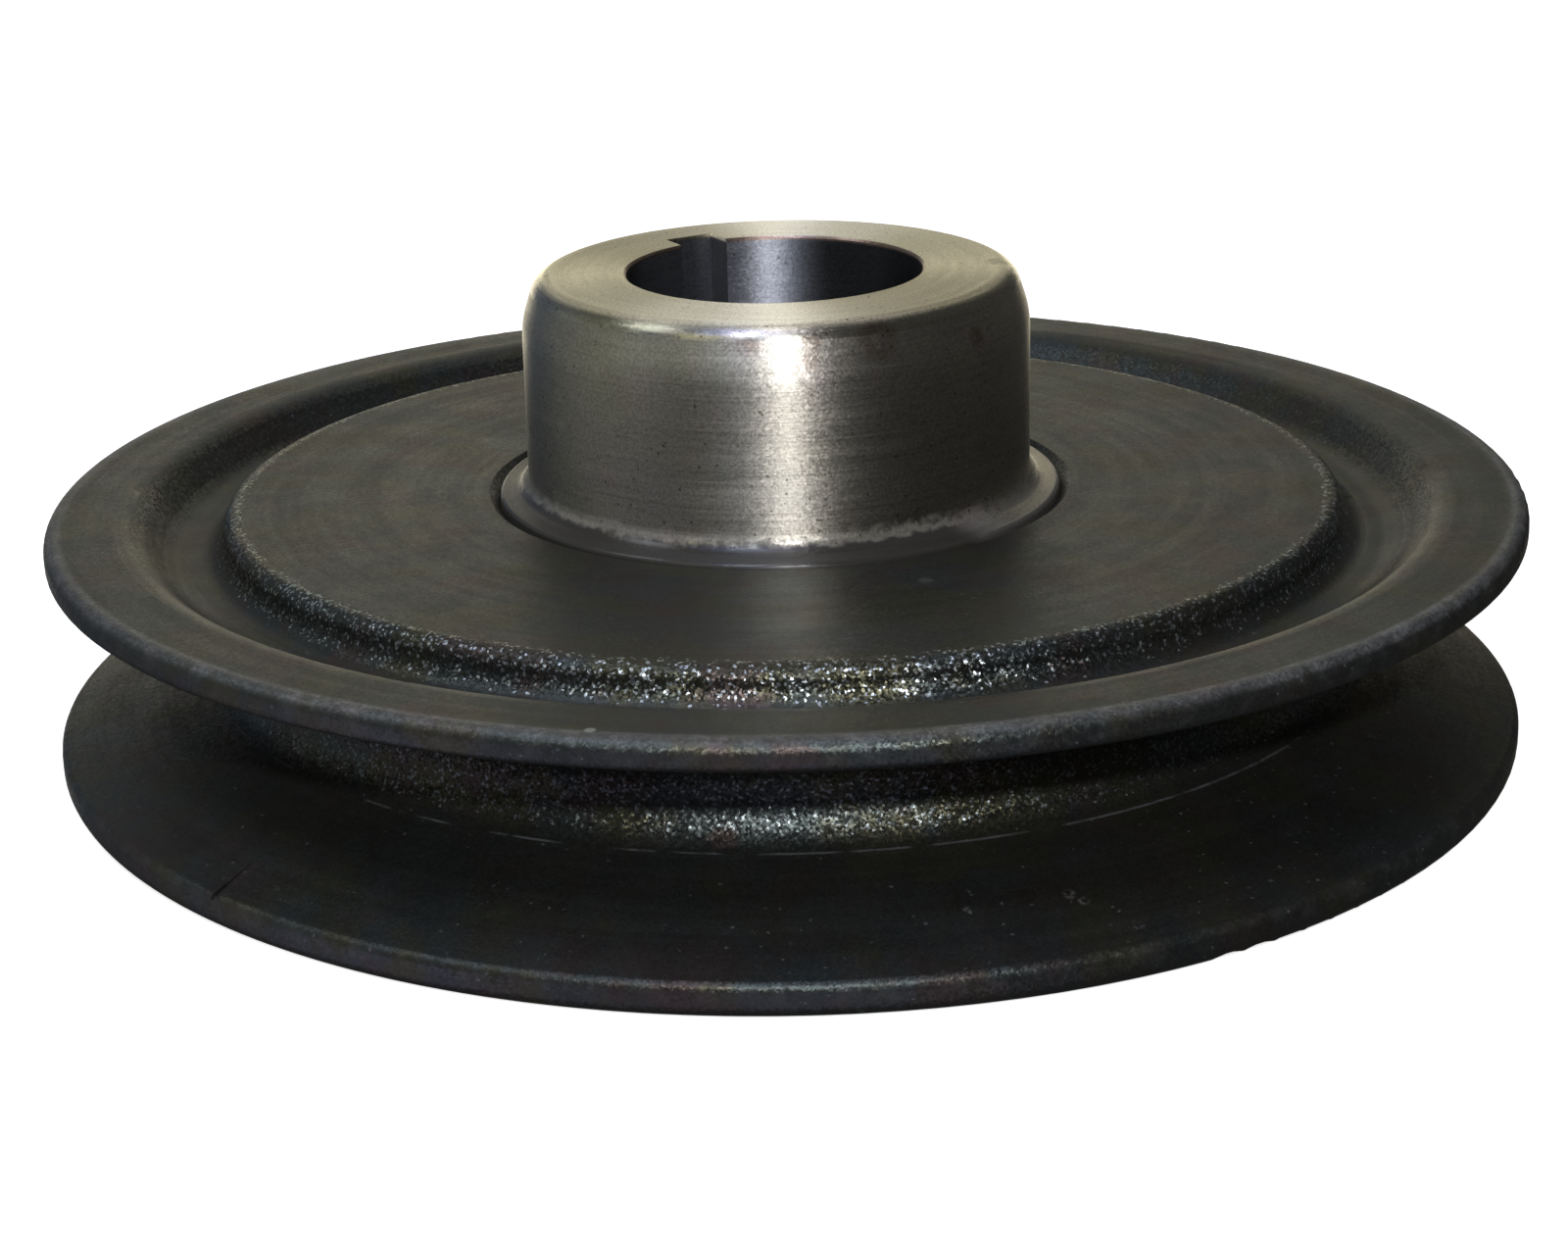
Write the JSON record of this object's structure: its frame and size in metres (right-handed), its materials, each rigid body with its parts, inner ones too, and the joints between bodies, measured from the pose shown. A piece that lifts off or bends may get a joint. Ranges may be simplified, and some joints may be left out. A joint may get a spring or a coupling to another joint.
{
  "type": "v belt pulley",
  "caption": "Single-groove V belt pulley: black sheave with a recessed upper face, and a bright keyed hub that carries an oil seal surface.",
  "frame": {"origin": "on the pulley's axis, in the plane of the lower flange's face", "axes": "+Z along the axis towards the hub's free end, +Y from the axis through the keyway"},
  "size_m": [0.14, 0.14, 0.0443],
  "materials": {
    "sheave_black": "black phosphate, turned, fine grained",
    "hub_steel": "bare steel, turned and ground"
  },
  "bodies": {
    "root": {"sheave": "sheave_black", "hub": "hub_steel"}
  },
  "joints": []
}
